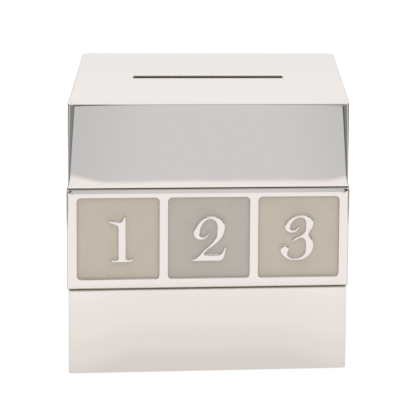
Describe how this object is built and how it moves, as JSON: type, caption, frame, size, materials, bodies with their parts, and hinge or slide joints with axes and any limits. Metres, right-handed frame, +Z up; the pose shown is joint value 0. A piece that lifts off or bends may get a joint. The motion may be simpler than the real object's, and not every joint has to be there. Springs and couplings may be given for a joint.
{
  "type": "cube money box",
  "caption": "Polished metal cube money box in three tiers, with a coin slot, a raised band of enamelled number windows and a pull-out base stopper.",
  "frame": {"origin": "centre of the felt's lower face, on the surface that the box stands on", "axes": "+Z up, the front number plate faces -Y, +X to the viewer's right"},
  "size_m": [0.0808, 0.0808, 0.08],
  "materials": {
    "silver_plate": "mirror polished silver plate",
    "tinned_steel": "plain tinned sheet",
    "taupe_enamel": "glossy opaque enamel",
    "felt": "short pile felt",
    "stopper_plastic": "moulded soft plastic"
  },
  "bodies": {
    "box": {"upper_shell": "silver_plate", "lower_shell": "silver_plate", "core_liner": "tinned_steel", "base_plate": "tinned_steel", "base_felt": "felt", "front_number_plate": "silver_plate", "right_number_plate": "silver_plate", "back_number_plate": "silver_plate", "left_number_plate": "silver_plate", "front_enamel_1": "taupe_enamel", "front_enamel_2": "taupe_enamel", "front_enamel_3": "taupe_enamel", "right_enamel_1": "taupe_enamel", "right_enamel_2": "taupe_enamel", "right_enamel_3": "taupe_enamel", "back_enamel_1": "taupe_enamel", "back_enamel_2": "taupe_enamel", "back_enamel_3": "taupe_enamel", "left_enamel_1": "taupe_enamel", "left_enamel_2": "taupe_enamel", "left_enamel_3": "taupe_enamel"},
    "stopper": {"stopper": "stopper_plastic"}
  },
  "joints": [
    {"name": "stopper_pull", "type": "slide", "parent": "box", "child": "stopper", "axis": [0, 0, -1], "range_m": [0, 0.012]}
  ]
}
